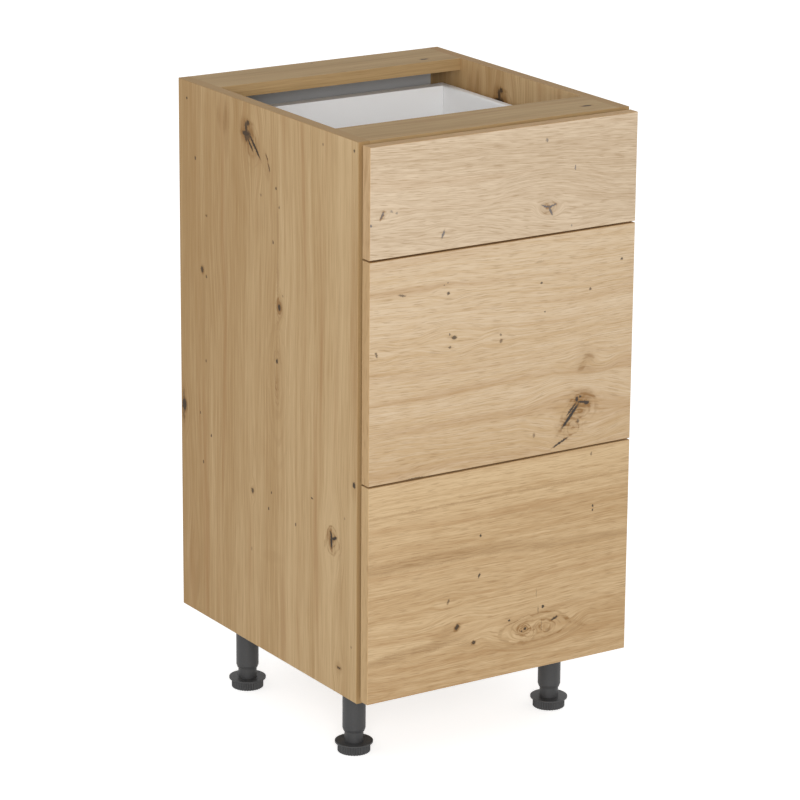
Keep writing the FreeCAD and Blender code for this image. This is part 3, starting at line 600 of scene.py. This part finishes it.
def cross_head(name, radius, height, slot, slot_depth, rim):
    """A round head that faces up, its rim rounded over, with a cross of that slot's width cut into it."""
    slot_length, slot_height, top_edge = radius * 1.15, 2.0 * slot_depth, 0.9 * height
    middle = (0.0, 0.0, height / 2)
    bpy.ops.object.select_all(action="DESELECT")
    bpy.ops.mesh.primitive_cylinder_add(vertices=24, radius=radius, depth=height, location=middle)
    head = bpy.context.object
    head.name = name
    bpy.ops.object.transform_apply(location=True, rotation=True, scale=True)
    bpy.ops.object.mode_set(mode="EDIT")
    bpy.ops.mesh.select_all(action="DESELECT")
    bpy.ops.object.mode_set(mode="OBJECT")
    for edge in head.data.edges:
        ends = [head.data.vertices[index].co.z for index in edge.vertices]
        edge.select = min(ends) > top_edge
    bpy.ops.object.mode_set(mode="EDIT")
    bpy.ops.mesh.select_mode(type="EDGE")
    bpy.ops.mesh.bevel(offset=rim, segments=3, profile=0.6)
    bpy.ops.object.mode_set(mode="OBJECT")
    for blade_size in ((slot_length, slot, slot_height), (slot, slot_length, slot_height)):
        bpy.ops.object.select_all(action="DESELECT")
        bpy.ops.mesh.primitive_cube_add(size=1.0, location=(0.0, 0.0, height))
        blade = bpy.context.object
        blade.scale = blade_size
        bpy.ops.object.transform_apply(location=True, rotation=True, scale=True)
        only(head)
        cut = head.modifiers.new("cross", "BOOLEAN")
        cut.operation = "DIFFERENCE"
        cut.solver = "EXACT"
        cut.object = blade
        bpy.ops.object.modifier_apply(modifier=cut.name)
        bpy.data.objects.remove(blade)
    bpy.ops.object.shade_smooth_by_angle(angle=math.radians(35.0))
    head.data.materials.append(zinc_plate)
    return head


def set_heads(name, body, head, facing, spots):
    """Copies of a head at each spot, turned to face the given way, joined into one piece."""
    turned = Vector(facing).to_track_quat("Z", "Y").to_euler()
    set_in = []
    for spot in spots:
        only(head)
        bpy.ops.object.duplicate(linked=False)
        one = bpy.context.object
        one.location = spot
        one.rotation_euler = turned
        set_in.append(one)
    only(set_in[0])
    for one in set_in:
        one.select_set(True)
    bpy.ops.object.join()
    bpy.ops.object.transform_apply(location=True, rotation=True, scale=True)
    piece = bpy.context.object
    piece.name = name
    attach(piece, body)


down, to_left, to_right, to_rear = (0.0, 0.0, -1.0), (-1.0, 0.0, 0.0), (1.0, 0.0, 0.0), (0.0, 1.0, 0.0)
pan_head = cross_head("pan_head", radius=0.0036, height=0.0020, slot=0.0009, slot_depth=0.0012, rim=0.0009)
flat_head = cross_head("flat_head", radius=0.0034, height=0.0009, slot=0.0009, slot_depth=0.0006, rim=0.0004)
cam_head = cross_head("cam_head", radius=0.0075, height=0.0007, slot=0.0016, slot_depth=0.0005, rim=0.0002)

legs_low, legs_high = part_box("legs")
plate_half, hole_half, plate_thickness = 0.030, 0.021, 0.0035
plate_spots = []
for leg_x in (legs_low.x + plate_half, legs_high.x - plate_half):
    for leg_y in (legs_low.y + plate_half, legs_high.y - plate_half):
        for x_off in (-hole_half, hole_half):
            for y_off in (-hole_half, hole_half):
                plate_spots.append((leg_x + x_off, leg_y + y_off, legs_high.z - plate_thickness + sunk))
set_heads("leg_plate_screws", "root", pan_head, down, plate_spots)

bottom_low, bottom_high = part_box("bottom_panel")
rail_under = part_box("top_rail_front")[0].z
cam_inset = 0.034
bottom_cam_rows, rail_cam_rows = (-0.185, 0.008, 0.193), (-0.192, -0.146, 0.168, 0.212)
cam_spots = []
for cam_x in (bottom_low.x + cam_inset, bottom_high.x - cam_inset):
    cam_spots += [(cam_x, cam_y, bottom_low.z + sunk) for cam_y in bottom_cam_rows]
    cam_spots += [(cam_x, cam_y, rail_under + sunk) for cam_y in rail_cam_rows]
set_heads("cams", "root", cam_head, down, cam_spots)

steel, inner_wall = 0.0012, bottom_high.x
side_feet = {level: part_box(f"drawer_{level}_side_left")[0].z for level in levels}
runner_rows, runner_rise = (-0.170, -0.010, 0.150), 0.0094
for hand, away, facing in (("left", -1, to_right), ("right", 1, to_left)):
    runner_x = away * (inner_wall - steel + sunk)
    runner_spots = [(runner_x, y, foot + runner_rise) for foot in side_feet.values() for y in runner_rows]
    set_heads(f"runner_screws_{hand}", "root", flat_head, facing, runner_spots)

latch_low, latch_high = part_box("push_latch_housings")
flange, latch_rise, latch_reach = 0.003, 0.046, 0.013
latch_x, latch_y = latch_low.x + flange - sunk, (latch_low.y + latch_high.y) / 2
latch_spots = []
for foot in side_feet.values():
    latch_spots += [(latch_x, latch_y, foot + latch_rise + lift) for lift in (-latch_reach, latch_reach)]
set_heads("latch_screws", "root", pan_head, to_right, latch_spots)

side_low, side_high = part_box("drawer_bottom_side_left")
tab_x = 0.1595
tab_rises = {"bottom": (0.036, 0.120), "middle": (0.036, 0.120), "top": (0.032, 0.060)}
for level in levels:
    for end, tab_y in (("front", side_low.y + steel - sunk), ("rear", side_high.y - sunk)):
        tab_spots = []
        for x in (-tab_x, tab_x):
            tab_spots += [(x, tab_y, side_feet[level] + rise) for rise in tab_rises[level]]
        set_heads(f"drawer_{level}_{end}_screws", f"drawer_{level}", pan_head, to_rear, tab_spots)
for head in (pan_head, flat_head, cam_head):
    bpy.data.objects.remove(head)


# ---- Floor, light and camera ---------------------------------------------------------------
# A wide pale floor that keeps a soft shadow and is clear when seen from below, and one broad
# lamp in front and to the left under a white sky. The long lens looks from the front left,
# above the top; it has no shift, because every other view would keep it.
def seen_plainly(tree):
    """1 for rays from the camera, a mirror or glass, and 0 for rays that carry light."""
    rays = tree.nodes.new("ShaderNodeLightPath")
    seen = reckon(tree, "MAXIMUM", rays.outputs["Is Camera Ray"], rays.outputs["Is Glossy Ray"])
    return reckon(tree, "MAXIMUM", seen, rays.outputs["Is Transmission Ray"])


white = (1.0, 1.0, 1.0, 1.0)
floor_colour, floor_glow, floor_drop = (0.82, 0.82, 0.82, 1.0), 0.68, 0.0005
bpy.ops.object.select_all(action="DESELECT")
bpy.ops.mesh.primitive_plane_add(size=40.0, location=(0.0, 0.0, -floor_drop))
floor = bpy.context.object
floor.name = "floor"
bpy.ops.object.transform_apply(location=True, rotation=True, scale=True)
floor_paint = bpy.data.materials.new("floor_paint")
floor_paint.use_nodes = True
floor_tree = floor_paint.node_tree
floor_tree.nodes.remove(floor_tree.nodes["Principled BSDF"])
matt = step(floor_tree, "ShaderNodeBsdfDiffuse", floor_colour)
glow_strength = reckon(floor_tree, "MULTIPLY", seen_plainly(floor_tree), floor_glow)
glow = step(floor_tree, "ShaderNodeEmission", white, glow_strength)
from_above = step(floor_tree, "ShaderNodeAddShader", matt, glow)
from_below = step(floor_tree, "ShaderNodeBsdfTransparent")
turned_away = floor_tree.nodes.new("ShaderNodeNewGeometry").outputs["Backfacing"]
floor_look = step(floor_tree, "ShaderNodeMixShader", turned_away, from_above, from_below)
floor_tree.links.new(floor_look, floor_tree.nodes["Material Output"].inputs["Surface"])
floor.data.materials.append(floor_paint)

sky_light, sky_white = 0.58, 1.0
world = bpy.data.worlds.new("studio")
bpy.context.scene.world = world
world.use_nodes = True
sky = world.node_tree
sky_strength = reckon(sky, "MULTIPLY_ADD", seen_plainly(sky), sky_white - sky_light, sky_light)
sky.nodes["Background"].inputs["Color"].default_value = white
sky.links.new(sky_strength, sky.nodes["Background"].inputs["Strength"])

lamp_place, lamp_target = Vector((-2.6, -4.1, 1.75)), Vector((0.0, 0.0, 0.4))
lamp = bpy.data.lights.new("front_lamp", "AREA")
lamp.shape = "SQUARE"
lamp.size = 2.0
lamp.energy = 112.0
lamp_stand = bpy.data.objects.new("front_lamp", lamp)
bpy.context.scene.collection.objects.link(lamp_stand)
lamp_stand.location = lamp_place
lamp_stand.rotation_euler = (lamp_target - lamp_place).to_track_quat("-Z", "Y").to_euler()

tilt, roll, heading = 73.316, -0.416, -32.581
camera = bpy.data.objects.new("camera", bpy.data.cameras.new("camera"))
bpy.context.scene.collection.objects.link(camera)
camera.data.sensor_width = 36.0
camera.data.lens = 169.31
camera.data.clip_end = 100.0
camera.location = (-2.537, -3.9445, 1.8187)
camera.rotation_euler = (math.radians(tilt), math.radians(roll), math.radians(heading))
bpy.context.scene.camera = camera
bpy.context.scene.view_settings.view_transform = "Standard"
